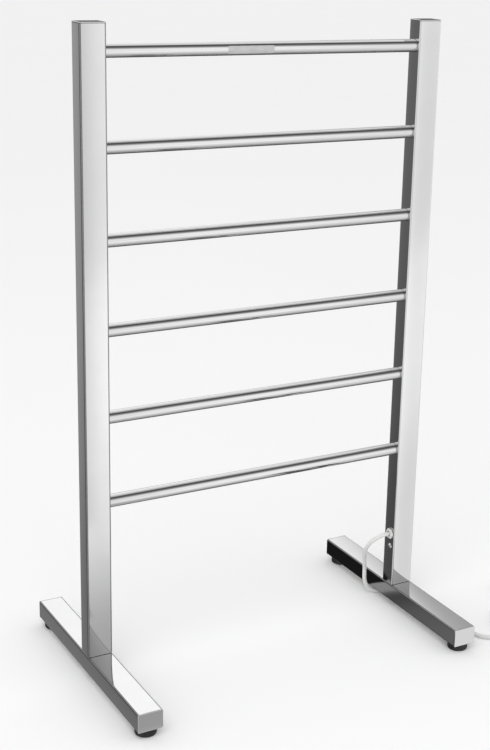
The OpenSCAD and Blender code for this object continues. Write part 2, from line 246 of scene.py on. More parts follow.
CORNER_STEPS = 8        # faces round a tube's corner
SIDE_STEPS = 6          # faces across a bowed tube face
CUTTER_LENGTH = 0.006


def arc(centre, radius, start, end, steps):
    """Points of an arc about a centre, from one angle to another in degrees."""
    turns = [math.radians(start + (end - start) * k / steps) for k in range(steps + 1)]
    return [(centre[0] + radius * math.cos(a), centre[1] + radius * math.sin(a)) for a in turns]


def hexagon_radius(across_flats, a):
    """How far a hexagon reaches from its centre at an angle."""
    return across_flats / 2 / math.cos((a + math.pi / 6) % (math.pi / 3) - math.pi / 6)


def section(width, depth, corner, steps=CORNER_STEPS, crown=0.0):
    """A rounded rectangle of points; its long and short faces bow out by the crown."""
    points = []
    half_w, half_d = width / 2, depth / 2
    inner_w, inner_d = half_w - crown - corner, half_d - crown - corner
    for quarter, (sx, sy) in enumerate(((1, 1), (-1, 1), (-1, -1), (1, -1))):
        points += arc((sx * inner_w, sy * inner_d), corner, 90 * quarter, 90 * quarter + 90, steps)
        if not crown:
            continue
        inner, half = ((inner_w, half_d), (inner_d, half_w))[quarter % 2]
        for k in range(1, SIDE_STEPS):
            t = 1 - 2 * k / SIDE_STEPS
            along = t * inner * (1 if quarter < 2 else -1)
            out = (half - crown * t * t) * (1 if quarter in (0, 3) else -1)
            points.append((out, along) if quarter % 2 else (along, out))
    return points


def lofted(name, rows, *finishes, loop=False, second=()):
    """Skins rows of points, back to the first row or closed by two end faces.

    The faces numbered in second take the second finish."""
    n, count = len(rows[0]), len(rows)
    faces = []
    for r in range(count if loop else count - 1):
        low, high = r * n, (r + 1) % count * n
        faces += [(low + k, low + (k + 1) % n, high + (k + 1) % n, high + k) for k in range(n)]
    if not loop:
        faces += [tuple(reversed(range(n))), tuple(range((count - 1) * n, count * n))]
    piece = placed(name, mesh_from(name, [p for row in rows for p in row], faces), *finishes)
    for k in second:
        piece.data.polygons[k].material_index = 1
    face_outwards(piece)
    return piece


def tube(name, width, depth, start, end, place, sizes, face_key, corner_key):
    """A closed hollow tube; place turns (u, v, along) into a point, corners have a finish."""
    outer = section(width, depth, sizes.tube_corner, crown=sizes.face_crown)
    wall = sizes.tube_wall
    shrink_u, shrink_v = (width / 2 - wall) / (width / 2), (depth / 2 - wall) / (depth / 2)
    inner = [(u * shrink_u, v * shrink_v) for u, v in outer]
    rows = [[place(u, v, w) for u, v in ring] for ring, w in
            ((outer, start), (outer, end), (inner, end), (inner, start))]
    side = len(outer) // 4
    corners = [k for k in range(len(outer)) if k % side < CORNER_STEPS]
    return lofted(name, rows, finish(face_key), finish(corner_key), loop=True, second=corners)


def face_outwards(piece):
    shape = bmesh.new()
    shape.from_mesh(piece.data)
    bmesh.ops.remove_doubles(shape, verts=shape.verts, dist=1e-7)
    bmesh.ops.recalc_face_normals(shape, faces=shape.faces)
    shape.to_mesh(piece.data)
    shape.free()


def end_plate(name, width, depth, thick, place, sizes, key):
    """A closing plate with a rounded outer edge and a fine break at the seam."""
    edge, corner = sizes.plate_edge, sizes.tube_corner
    groove = sizes.joint_gap
    lip = groove + 0.0001
    rings = [(groove, 0.0), (groove, groove * 0.8), (0.0, groove)]
    for k in range(9):
        a = math.radians(90 * k / 8)
        rings.append((edge * (1 - math.cos(a)),
                      max(lip, thick - edge) + min(edge, thick - lip) * math.sin(a)))
    rows = [[place(u, v, height) for u, v in
             section(width - 2 * inset, depth - 2 * inset, max(corner - inset, 0.0006), steps=10)]
            for inset, height in rings]
    return lofted(name, rows, finish(key), finish("joint"), second=range(2 * len(rows[0])))


def turned(name, profile, place, sides=96, closed=False):
    """A lathe-turned piece: profile points (radius, along); place turns them into points."""
    points, faces, rings = [], [], []
    for radius, along in profile:
        if radius < 1e-6:
            rings.append([len(points)])
            points.append(place(0.0, 0.0, along))
        else:
            first = len(points)
            for s in range(sides):
                a = 2 * math.pi * s / sides
                points.append(place(radius * math.cos(a), radius * math.sin(a), along))
            rings.append(list(range(first, first + sides)))
    for low, high in zip(rings, rings[1:] + rings[:1] if closed else rings[1:]):
        for s in range(sides):
            m = (s + 1) % sides
            if len(low) == 1 and len(high) > 1:
                faces.append((low[0], high[s], high[m]))
            elif len(high) == 1 and len(low) > 1:
                faces.append((low[s], low[m], high[0]))
            elif len(low) > 1:
                faces.append((low[s], low[m], high[m], high[s]))
    piece = placed(name, mesh_from(name, points, faces))
    face_outwards(piece)
    return piece


def six_sided(name, across_flats, height, bore, place, chamfer=0.0004, sides=120):
    """A chamfered hexagon nut about its own axis."""
    widest, slope = across_flats / 2 * 1.035, 1.8
    bevel = chamfer * 0.6
    angles = [2 * math.pi * s / sides for s in range(sides)]

    def row(z, reach):
        return [place(reach(a) * math.cos(a), reach(a) * math.sin(a), z) for a in angles]

    def outside(z):
        rise = min(z, height - z)
        return row(z, lambda a: min(hexagon_radius(across_flats, a), widest + rise * slope))

    rows = [row(bevel, lambda a: bore), row(0.0, lambda a: bore + bevel)]
    rows += [outside(z) for z in (0.0, chamfer, height / 2, height - chamfer, height)]
    rows += [row(height, lambda a: bore + bevel), row(height - bevel, lambda a: bore)]
    return lofted(name, rows, loop=True)


def spline(points, steps):
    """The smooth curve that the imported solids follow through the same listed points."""
    p = [Vector(q) for q in points]
    e = [2 * p[0] - p[1]] + p + [2 * p[-1] - p[-2]]
    out = []
    for i in range(len(p) - 1):
        for j in range(steps):
            t = j / steps
            out.append(((1 - t) ** 3 * e[i] + (3 * t ** 3 - 6 * t * t + 4) * e[i + 1]
                        + (-3 * t ** 3 + 3 * t * t + 3 * t + 1) * e[i + 2]
                        + t ** 3 * e[i + 3]) / 6)
    return out + [p[-1]]


def swept(name, path, outline, up, close_ends=True):
    """Carries an outline of (side, up) points along a path, with a UV map along its length."""
    count, n = len(path), len(outline)
    tangents = [(path[min(i + 1, count - 1)] - path[max(i - 1, 0)]).normalized()
                for i in range(count)]
    normal = Vector(up)
    points, run, lengths = [], 0.0, []
    for i, (p, t) in enumerate(zip(path, tangents)):
        normal = (normal - normal.dot(t) * t).normalized()
        side = t.cross(normal)
        run += (p - path[i - 1]).length if i else 0.0
        lengths.append(run)
        points += [p + normal * v + side * u for u, v in outline]
    faces = [(i * n + s, i * n + (s + 1) % n, (i + 1) * n + (s + 1) % n, (i + 1) * n + s)
             for i in range(count - 1) for s in range(n)]
    if close_ends:
        faces += [tuple(reversed(range(n))), tuple(range((count - 1) * n, count * n))]
    mesh = mesh_from(name, points, faces)
    uv = mesh.uv_layers.new(name="along")
    for face in mesh.polygons:
        if len(face.vertices) != 4:
            continue
        columns = [v % n for v in face.vertices]
        wraps = max(columns) - min(columns) > n / 2
        for corner, v in zip(face.loop_indices, face.vertices):
            column = v % n
            uv.data[corner].uv = ((column + (n if wraps and column == 0 else 0)) / n,
                                  lengths[v // n] * 100)
    return placed(name, mesh)


def disc_outline(radius, sides):
    return [(radius * math.sin(2 * math.pi * s / sides), radius * math.cos(2 * math.pi * s / sides))
            for s in range(sides)]


# ---- nodes --------------------------------------------------------------------------

class Wiring:
    """Adds nodes to a tree; an input takes a value, a socket or a node's first output."""

    def add(self, kind, links=(), **settings):
        node = self.tree.nodes.new(kind)
        for key, setting in settings.items():
            setattr(node, key, setting)
        for socket, source in dict(links).items():
            self.feed(node.inputs[socket], source)
        return node

    def feed(self, target, source):
        if isinstance(source, bpy.types.NodeSocket):
            self.tree.links.new(source, target)
        elif isinstance(source, bpy.types.Node):
            self.tree.links.new(source.outputs[0], target)
        else:
            target.default_value = source

    def calc(self, kind, a, b=0.0):
        return self.add("ShaderNodeMath", {0: a, 1: b}, operation=kind)


class Tree(Wiring):
    """A Geometry Nodes tree with named inputs, made a plain mesh once it is set."""

    def __init__(self, name, **inputs):
        self.tree = bpy.data.node_groups.new(name, "GeometryNodeTree")
        self.tree.interface.new_socket("Geometry", in_out="OUTPUT",
                                       socket_type="NodeSocketGeometry")
        self.values, self.ids = inputs, {}
        for key, value in inputs.items():
            kind = ("NodeSocketMaterial" if isinstance(value, bpy.types.Material) else
                    "NodeSocketInt" if isinstance(value, int) else
                    "NodeSocketVector" if isinstance(value, (tuple, list, Vector)) else
                    "NodeSocketFloat")
            socket = self.tree.interface.new_socket(
                key.replace("_", " ").capitalize(), in_out="INPUT", socket_type=kind)
            self.ids[key] = socket.identifier
        self.source = self.tree.nodes.new("NodeGroupInput")
        self.sink = self.tree.nodes.new("NodeGroupOutput")

    def value(self, key):
        return self.source.outputs[list(self.values).index(key)]

    def made(self, name, last, finish_key="finish"):
        real = self.add("GeometryNodeRealizeInstances", {0: last})
        coloured = self.add("GeometryNodeSetMaterial",
                            {"Geometry": real, "Material": self.value(finish_key)})
        self.tree.links.new(coloured.outputs[0], self.sink.inputs[0])
        piece = placed(name, bpy.data.meshes.new(name))
        builder = piece.modifiers.new("builder", "NODES")
        builder.node_group = self.tree
        for key, value in self.values.items():
            builder[self.ids[key]] = value
        piece.update_tag()
        baked(piece)
        return piece


# ---- finishes ---------------------------------------------------------------------

class Finish(Wiring):
    """A material being made: a Principled surface and short ways to drive it."""

    def __init__(self, name, colour, metallic=0.0, roughness=0.5):
        self.material = bpy.data.materials.new(name)
        self.material.use_nodes = True
        self.tree = self.material.node_tree
        self.surface = self.tree.nodes["Principled BSDF"]
        self.colour, self.height = colour, None
        self.drive("Base Color", (*colour, 1))
        self.drive("Metallic", metallic)
        self.drive("Roughness", roughness)
        self.place = self.add("ShaderNodeTexCoord").outputs["Object"]

    def drive(self, key, source):
        self.feed(self.surface.inputs[key], source)

    def stretched(self, scale, uv=False):
        source = self.add("ShaderNodeUVMap", uv_map="along") if uv else self.place
        return self.add("ShaderNodeMapping", {"Vector": source, "Scale": scale}).outputs[0]

    def noise(self, scale, detail=3.0, vector=None):
        return self.add("ShaderNodeTexNoise", {
            "Vector": vector or self.place, "Scale": scale, "Detail": detail,
            "Roughness": 0.55}).outputs["Fac"]

    def vary_colour(self, value, other, low=0.35, high=0.65):
        ramp = self.add("ShaderNodeValToRGB", {0: value})
        for end, at, colour in zip(ramp.color_ramp.elements, (low, high), (self.colour, other)):
            end.position, end.color = at, (*colour, 1)
        self.drive("Base Color", ramp)

    def vary_roughness(self, value, low, high):
        self.drive("Roughness", self.add("ShaderNodeMapRange", {
            "Value": value, "From Min": 0.3, "From Max": 0.7, "To Min": low, "To Max": high}))

    def bump(self, value, depth, strength=1.0):
        links = {"Height": value, "Distance": depth, "Strength": strength}
        if self.height is not None:
            links["Normal"] = self.height
        self.height = self.add("ShaderNodeBump", links)
        self.drive("Normal", self.height)


def tinted(colour, factor):
    return tuple(min(1.0, c * factor) for c in colour)


def polished_steel(name, look, grain):
    """Mirror-polished tube: faint lines along the buffing, a soft haze, a slow roll."""
    f = Finish(name, look.steel, 1.0, look.steel_roughness)
    buff = f.noise(1.0, 4.0, f.stretched(grain))
    haze = f.noise(26.0, 4.0)
    f.vary_colour(haze, tinted(look.steel, 0.965), 0.25, 0.75)
    f.vary_roughness(haze, look.steel_roughness * 0.8, look.steel_roughness * 1.5)
    f.bump(f.noise(9.0, 1.0), 0.00012, 0.5)
    f.bump(buff, 0.0000012, 0.6)
    return f.material


def moulded(name, colour, roughness, grain=700.0, depth=0.00004, shade=0.86):
    """Moulded plastic or rubber: fine spark-eroded grain and a slow change of shade."""
    f = Finish(name, colour, 0.0, roughness)
    f.vary_colour(f.noise(38.0, 3.0), tinted(colour, shade))
    f.vary_roughness(f.noise(120.0, 3.0), roughness * 0.85, min(1.0, roughness * 1.2))
    f.bump(f.noise(grain, 2.0), depth, 0.35)
    return f.material


def bright_metal(name, colour, roughness, grain=(60.0, 60.0, 900.0), shade=0.8):
    """Turned, plated or drawn metal: fine lines, duller patches."""
    f = Finish(name, colour, 1.0, roughness)
    lines = f.noise(1.0, 3.0, f.stretched(grain))
    f.vary_colour(f.noise(140.0, 4.0), tinted(colour, shade))
    f.vary_roughness(lines, roughness * 0.7, roughness * 1.5)
    f.bump(lines, 0.000006, 0.5)
    return f.material


def sheath(name, colour):
    """Extruded flexible sheath: faint lines along it and a slight uneven lay."""
    f = Finish(name, colour, 0.0, 0.42)
    f.drive("Coat Weight", 0.08)
    lines = f.noise(1.0, 3.0, f.stretched((26.0, 0.35, 1.0), uv=True))
    slow = f.noise(1.0, 2.0, f.stretched((2.0, 0.6, 1.0), uv=True))
    f.vary_colour(slow, tinted(colour, 0.93))
    f.vary_roughness(slow, 0.36, 0.5)
    f.bump(lines, 0.00005, 0.5)
    f.bump(slow, 0.00012, 0.35)
    return f.material


def blank_film(name):
    """Heat-proof silver film without print: a slightly uneven tone and gloss."""
    f = Finish(name, (0.56, 0.56, 0.565), 0.15, 0.36)
    f.vary_colour(f.noise(1.0, 2.0, f.stretched((90.0, 160.0, 160.0))), (0.50, 0.50, 0.505))
    f.vary_roughness(f.noise(90.0), 0.32, 0.46)
    f.bump(f.noise(60.0, 2.0), 0.00002, 0.4)
    return f.material


def woven_tape(name, colour):
    """Hook-and-loop tape: a coarse looped pile."""
    f = Finish(name, colour, 0.0, 0.9)
    f.drive("Sheen Weight", 0.35)
    pile = f.noise(1400.0, 4.0)
    f.vary_colour(pile, tinted(colour, 2.2))
    f.bump(pile, 0.0003, 0.8)
    return f.material


def all_finishes(look):
    """Every finish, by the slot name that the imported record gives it."""
    black = (0.02, 0.02, 0.02)
    return {
        "polished_steel": polished_steel("polished_tube", look, (500.0, 500.0, 7.0)),
        # darker corners of the left post and the feet: a stand-in for a dark reflection there
        "painted_dark_reflection": bright_metal("painted_dark_reflection", tinted(tuple(look.steel), 0.36), 0.1,
                                      (300.0, 300.0, 300.0), 0.85),
        "bar_steel": polished_steel("polished_bar", look, (8.0, 700.0, 700.0)),
        "foot_steel": polished_steel("polished_foot", look, (500.0, 7.0, 500.0)),
        "zinc_plate": bright_metal("zinc_plate", (0.56, 0.58, 0.60), 0.3),
        "black_oxide": bright_metal("black_oxide", (0.05, 0.05, 0.055), 0.45),
        "black_rubber": moulded("pad_rubber", tuple(look.rubber), 0.62, 900.0, 0.00006, 1.7),
        "heating_cable": moulded("cable_silicone", (0.30, 0.12, 0.06), 0.55),
        "joint": moulded("joint_sealer", (0.01, 0.01, 0.01), 0.7),
        "silicone": moulded("grommet_silicone", (0.50, 0.10, 0.06), 0.6),
        "red_wire": moulded("red_insulation", (0.45, 0.03, 0.03), 0.4),
        "blue_wire": moulded("blue_insulation", (0.03, 0.10, 0.45), 0.4),
        "earth_wire": moulded("earth_insulation", (0.25, 0.45, 0.04), 0.4, shade=1.6),
        "heat_shrink": moulded("shrink_sleeve", black, 0.5),
        "tape": woven_tape("hook_and_loop", black),
        "ivory_plastic": moulded("ivory_moulding", (0.74, 0.71, 0.60), 0.4),
        "brass": bright_metal("brass", tuple(look.brass), 0.24),
        "white_nylon": moulded("white_nylon", tuple(look.nylon), 0.36, 900.0, 0.00003, 0.92),
        "grey_seal": moulded("seal_rubber", (0.035, 0.035, 0.036), 0.55),
        "bright_screw": bright_metal("bright_screw", (0.66, 0.66, 0.67), 0.14),
        "clear_film": blank_film("blank_film"),
        "white_pvc": sheath("white_sheath", tuple(look.sheath)),
        "white_moulding": moulded("plug_moulding", tuple(look.sheath), 0.42, 1100.0, 0.00005, 0.95),
    }


FINISHES = {}


def finish(key):
    if not FINISHES:
        FINISHES.update(all_finishes(bpy.context.scene.towel_finish))
    return FINISHES[key]


def dressed(piece, key, slot, *nodes, body="rack", shade=32.0, weighted=True):
    """Gives a finished piece its finish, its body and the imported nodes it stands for."""
    if not piece.data.materials:
        piece.data.materials.append(finish(key))
    if shade:
        smoothed(piece, shade, weighted)
    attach(piece, body)
    if nodes:
        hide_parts(*nodes)
    return piece


# ---- the operators ----------------------------------------------------------------

CAMERA_SHIFT = (-0.08267, -0.03733)


class RACK_OT_camera(bpy.types.Operator):
    """Set up the camera"""
    bl_idname = "towel_rack.camera"
    bl_label = "Camera"

    def execute(self, context):
        studio = context.scene.towel_studio
        sin, cos = math.sin, math.cos
        y, p, r = studio.heading, studio.tilt, studio.roll
        forward = Vector((sin(y) * cos(p), cos(y) * cos(p), sin(p)))
        right = Vector((cos(y), -sin(y), 0))
        up = right.cross(forward)
        right, up = cos(r) * right + sin(r) * up, cos(r) * up - sin(r) * right
        eye = bpy.data.cameras.new("view")
        eye.sensor_fit, eye.sensor_width, eye.lens = "AUTO", 36.0, studio.lens
        eye.shift_x, eye.shift_y = CAMERA_SHIFT
        eye.clip_start, eye.clip_end = 0.05, 200
        camera = bpy.data.objects.new("view", eye)
        turn = Matrix((right, up, -forward)).transposed().to_4x4()
        camera.matrix_world = Matrix.Translation(studio.camera_at) @ turn
        context.scene.collection.objects.link(camera)
        context.scene.camera = camera
        return {"FINISHED"}


LEAD_ROUTE = (
    (254.9, -4, 136), (249.2, -3.8, 135.8), (239.2, -1.8, 133.1), (231.3, 2.3, 127.5),
    (226.6, 8, 120.1), (225.7, 15.6, 110), (228.7, 26, 96.9), (235.1, 36.9, 82.7),
    (241.8, 45.5, 67.9), (245.5, 49.9, 53.6), (246, 50.3, 41), (245.7, 49.8, 30.5),
    (248.3, 48.8, 19), (255, 47.6, 9.8), (264.5, 46.6, 4.4), (276, 45.8, 3.1), (288, 45, 3.5),
    (300, 44, 3.5), (312, 39.5, 3.5), (321, 31, 3.5), (326.5, 19, 3.5), (328, 5, 3.5),
    (328, -30, 3.5), (328, -60, 3.5), (328, -90, 3.5), (328, -120, 3.5), (328, -143, 3.5),
    (328, -157, 3.5), (330.5, -171, 3.5), (338, -183, 3.5), (350, -190, 3.5),
    (364, -192, 3.5), (385, -192, 3.5), (408, -192, 3.5), (431, -192, 3.5))
TAIL_ROUTE = ((473, -150, 10.5), (473, -138, 10.5), (474, -127, 9.3), (476.8, -116, 8),
              (479.3, -107, 8.3), (480, -99, 9))
COIL_CENTRE = (0.431, -0.150)
COIL_TURNS = (-90, 630, 740, 1440)      # lower layer, climb, upper layer, degrees
COIL_RADII = (0.042, 0.028, 0.0265, 0.042)


def coil_path(radius, per_turn):
    """Two flat spirals of the lead: inwards on the floor, then outwards on top of it."""
    start, climb, over, end = COIL_TURNS
    count = round((end - start) / 360 * per_turn)
    out = []
    for i in range(1, count + 1):
        turn = start + (end - start) * i / count
        if turn <= climb:
            r = COIL_RADII[0] + (COIL_RADII[1] - COIL_RADII[0]) * (turn - start) / (climb - start)
            lift = 0.0
        else:
            t = min(1.0, (turn - climb) / (over - climb))
            lift = 2 * radius * t * t * (3 - 2 * t)
            r = COIL_RADII[1] + (COIL_RADII[2] - COIL_RADII[1]) * t
            r += (COIL_RADII[3] - COIL_RADII[2]) * max(0.0, (turn - over) / (end - over))
        a = math.radians(turn)
        off = abs(math.radians(turn % 360 - 180)) * r
        raised = 0.0008 * math.exp(-(off / 0.009) ** 2)   # the tape passes under it here
        out.append(Vector((COIL_CENTRE[0] + r * math.cos(a), COIL_CENTRE[1] + r * math.sin(a),
                           radius + lift + raised)))
    return out


class RACK_OT_lead(bpy.types.Operator):
    """Lay the mains lead from the outlet to its stowed coil and the plug"""
    bl_idname = "towel_rack.lead"
    bl_label = "Mains lead"

    def execute(self, context):
        sizes = context.scene.towel_sizes
        radius = sizes.lead_diameter / 2
        lead, tail = ([Vector(p) / 1000 for p in route] for route in (LEAD_ROUTE, TAIL_ROUTE))
        path = spline(lead, 8) + coil_path(radius, sizes.turns_per_lap) + spline(tail, 8)[1:]
        path = [Vector((p.x, p.y, max(p.z, radius))) for p in path]
        piece = swept("mains_lead", path, disc_outline(radius, 24), (0, 0.3, 1))
        plug = plug_pieces(sizes)
        tape = coil_tie(radius)
        dressed(piece, "white_pvc", "white_pvc", "cord_lead", "cord_coil", "cord_tail",
                shade=50.0, weighted=False)
        for part in (piece, *plug, tape):
            part.visible_glossy = False
        tuple(path[0])
        [tuple(p) for p in path]
        return {"FINISHED"}


# place along the plug, shares of its width and depth, squareness of the section
PLUG_SECTIONS = (
    (0.0, 0.40, 0.56, 2.2), (0.02, 0.47, 0.62, 2.4), (0.10, 0.58, 0.70, 2.6),
    (0.22, 0.80, 0.86, 3.2), (0.34, 0.97, 0.98, 3.8), (0.42, 1.0, 1.0, 4.2),
    (0.50, 0.965, 1.0, 4.4), (0.60, 0.935, 1.0, 4.6), (0.70, 0.935, 1.0, 4.8),
    (0.80, 0.975, 1.0, 5.0), (0.88, 1.0, 1.0, 5.2), (0.965, 1.0, 1.0, 5.4),
    (0.988, 0.985, 0.98, 5.4), (1.0, 0.95, 0.93, 5.4))


def plug_pieces(sizes):
    """The moulded plug, its ribbed strain relief, its blades and its earth pin."""
    low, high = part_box("plug_body")
    centre = (low + high) / 2
    relief_low, relief_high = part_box("plug_strain_relief")

    def along_y(u, v, w):
        return (centre.x + u, w, centre.z + v)

    rows, sides = [], 72
    width, depth, length = high.x - low.x, high.z - low.z, high.y - low.y
    for t, share_w, share_d, power in PLUG_SECTIONS:
        row = []
        for s in range(sides):
            a = 2 * math.pi * s / sides
            c, q = math.cos(a), math.sin(a)
            u = math.copysign(abs(c) ** (2 / power), c) * width / 2 * share_w
            v = math.copysign(abs(q) ** (2 / power), q) * depth / 2 * share_d
            row.append(along_y(u, v, low.y + length * t))
        rows.append(row)
    body = lofted("plug_moulding", rows)
    dressed(body, "white_moulding", "white_pvc", "plug_body", shade=38.0)

    # tapered strain relief with a row of ribs
    start, end = relief_low.y, relief_high.y
    bore = sizes.lead_diameter / 2
    core = [(bore + 0.0001, start), (bore + 0.0004, start), (0.0041, start + 0.0006)]
    core += [(0.0041 + 0.0017 * k / 6, start + 0.0006 + (end - start - 0.0006) * k / 6)
             for k in range(1, 7)]
    core += [(0.0, end)]
    profile = [(0.0, start + 0.001), (bore + 0.0001, start + 0.001)] + core
    boot = turned("plug_boot", profile, along_y, sides=64)
    dressed(boot, "white_moulding", "white_pvc", "plug_strain_relief", shade=40.0)
    ribs = ribs_along(centre, start + 0.0022, end - 0.0012, 7)
    dressed(ribs, "white_moulding", "white_pvc", shade=40.0, weighted=False)

    pins = []
    for side in (-1, 1):
        b_low, b_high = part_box("plug_blades")
        x = centre.x + side * (b_high.x - b_low.x - 0.0015) / 2
        blade = blade_mesh(f"plug_blade_{'left' if side < 0 else 'right'}", x,
                           (b_low.y, b_high.y), (b_low.z, b_high.z))
        dressed(blade, "brass", "brass", *(("plug_blades",) if side < 0 else ()), shade=35.0)
        pins.append(blade)
    e_low, e_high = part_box("plug_earth_pin")
    pin_r = (e_high.x - e_low.x) / 2
    pin_at = (e_low + e_high) / 2

    def pin_place(u, v, w):
        return (pin_at.x + u, w, pin_at.z + v)

    tip = e_high.y
    profile = [(0.0, e_low.y), (pin_r, e_low.y)]
    profile += [(pin_r * share, tip - back) for share, back in (
        (1.0, 0.0024), (0.97, 0.0017), (0.85, 0.0009), (0.6, 0.0003), (0.3, 0.00005), (0.0, 0.0))]
    pin = turned("plug_earth", profile, pin_place, sides=48)
    dressed(pin, "brass", "brass", "plug_earth_pin", shade=40.0)
    return [body, boot, ribs, *pins, pin]


def ribs_along(centre, start, end, count):
    """Ribs of growing size round the strain relief, instanced along it."""
    t = Tree("strain_relief_ribs", count=count, start=(centre.x, start, centre.z),
             step=(0.0, (end - start) / (count - 1), 0.0), small=0.0045, large=0.0062,
             thickness=0.0006, finish=finish("white_moulding"))
    line = t.add("GeometryNodeMeshLine", {"Count": t.value("count"),
                                          "Start Location": t.value("start"),
                                          "Offset": t.value("step")}, mode="OFFSET")
    ring = t.add("GeometryNodeCurvePrimitiveCircle", {"Resolution": 64, "Radius": 1.0})
    rim = t.add("GeometryNodeCurvePrimitiveCircle", {"Resolution": 10,
                                                     "Radius": t.value("thickness")})
    index = t.add("GeometryNodeInputIndex")
    share = t.calc("DIVIDE", index, t.calc("SUBTRACT", t.value("count"), 1.0))
    size = t.add("ShaderNodeMapRange", {"Value": share, "To Min": t.value("small"),
                                        "To Max": t.value("large")})
    grown = t.add("GeometryNodeInstanceOnPoints", {
        "Points": line, "Instance": ring, "Scale": size,
        "Rotation": (math.radians(90), 0.0, 0.0)})
    real = t.add("GeometryNodeRealizeInstances", {0: grown})
    solid = t.add("GeometryNodeCurveToMesh", {"Curve": real, "Profile Curve": rim})
    return t.made("plug_ribs", solid)


def blade_mesh(name, x, span_y, span_z):
    """A flat contact blade with a rounded end and its small round hole."""
    half, edge = 0.00075, 0.0002
    y0, y1 = span_y
    z0, z1 = span_z
    mid, reach = (z0 + z1) / 2, (z1 - z0) / 2
    tip = 0.0016
    outline = [(y0, z0), (y0, z1)] + arc((y1 - tip, z1 - tip), tip, 90, 0, 8)
    outline += arc((y1 - tip, z0 + tip), tip, 0, -90, 8)
    n = len(outline)
    points = [(x - half, y, z) for y, z in outline] + [(x + half, y, z) for y, z in outline]
    faces = [tuple(range(n)), tuple(reversed(range(n, 2 * n)))]
    faces += [(k, n + k, n + (k + 1) % n, (k + 1) % n) for k in range(n)]
    piece = placed(name, mesh_from(name, points, faces))
    face_outwards(piece)
    hole = round_cutter((x, y1 - 0.0044, mid), (1, 0, 0), min(0.0015, reach * 0.5),
                        CUTTER_LENGTH, 40)
    return cut(piece, [hole], edge)


def coil_tie(radius):
    """A strap of hook-and-loop tape round the coil, its end lapped over the outside."""
    across, high = 3 * 2 * radius, 2 * 2 * radius
    thick, wide = 0.0008, 0.0085
    centre = Vector((COIL_CENTRE[0] - (COIL_RADII[0] + COIL_RADII[1]) / 2, COIL_CENTRE[1],
                     0.00085 + high / 2))
    half_w, half_h, corner = across / 2 + thick / 2, high / 2 + thick / 2, 0.0037

    def loop_point(t, out):
        w, h = half_w + out, half_h + out
        r = corner + out
        quarter, first = math.pi / 2 * r, 0.004
        tall, flat = 2 * (h - r), 2 * (w - r)
        spans = (tall - first, quarter, flat, quarter, tall, quarter, flat, quarter, tall, quarter,
                 flat)
        left = t
        spot, heading = Vector((-w, -(h - r) + first)), 90.0
        for k, span in enumerate(spans):
            step = min(left, span)
            a = math.radians(heading)
            if k % 2 == 0:
                spot += Vector((math.cos(a), math.sin(a))) * step
            else:
                turn = step / r
                centre_of = spot + Vector((math.sin(a), -math.cos(a))) * r
                spot = centre_of + Vector((-math.sin(a - turn), math.cos(a - turn))) * r
                heading -= math.degrees(turn)
            left -= step
            if left <= 1e-12:
                break
        return spot

    lap = 2 * (2 * (half_w + half_h) - 4 * corner) + 2 * math.pi * corner
    path, count = [], 150
    for i in range(count + 1):
        t = i / count * (lap + 0.016)
        out = max(0.0, min(1.0, (t - lap + 0.004) / 0.004)) * (thick + 0.0001)
        if t > lap + 0.012:
            out += (t - lap - 0.012) * 0.25
        spot = loop_point(t, out)
        path.append(centre + Vector((spot.x, 0, spot.y)))
    outline = [(sx * wide / 2, sy * thick / 2)
               for sx, sy in ((1, 1), (-1, 1), (-1, -1), (1, -1))]
    tape = swept("coil_tape", path, outline, Vector((-1, 0, 0)))
    face_outwards(tape)
    return dressed(tape, "tape", "heat_shrink", "cord_tie", shade=50.0, weighted=False)


OUTLET_HOLE = 0.00605
EARTH_HOLE = 0.0026


class RACK_OT_posts(bpy.types.Operator):
    """Build the two posts with their bar holes, outlet hole and top plates"""
    bl_idname = "towel_rack.posts"
    bl_label = "Posts"

    def execute(self, context):
        sizes = context.scene.towel_sizes
        for side, name in ((-1, "left_post"), (1, "right_post")):
            low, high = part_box(name)
            centre = (low + high) / 2

            def upright(u, v, w):
                return (centre.x + u, centre.y + v, w)

            # painted dark reflection: the left post's corners take a darker steel tone in place of
            # a reflected dark line; the right post's corners stay plain polished steel
            post = tube(f"{name}_tube", high.x - low.x, high.y - low.y,
                        low.z + sizes.joint_gap, high.z, upright, sizes, "polished_steel",
                        "painted_dark_reflection" if side < 0 else "polished_steel")
            inner_face = low.x if side > 0 else high.x
            holes = []
            for bar in BARS:
                at = middle(bar)
                holes.append(round_cutter(
                    (inner_face, at.y, at.z), (1, 0, 0),
                    extent(bar).z / 2 + sizes.bar_hole_gap, CUTTER_LENGTH))
            if side > 0:
                for node, radius in (("outlet_nut", OUTLET_HOLE), ("earth_screw", EARTH_HOLE)):
                    at = middle(node)
                    holes.append(round_cutter((inner_face, at.y, at.z), (1, 0, 0), radius,
                                              CUTTER_LENGTH))
            cut(post, holes, sizes.seam)
            dressed(post, "polished_steel", "polished_steel", name)
            low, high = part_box(f"{name}_cap")

            def cap_place(u, v, w):
                return (centre.x + u, centre.y + v, low.z + w)

            plate = end_plate(f"{name}_plate", high.x - low.x, high.y - low.y,
                              high.z - low.z, cap_place, sizes, "polished_steel")
            dressed(plate, "polished_steel", "polished_steel", f"{name}_cap", shade=40.0)
        return {"FINISHED"}


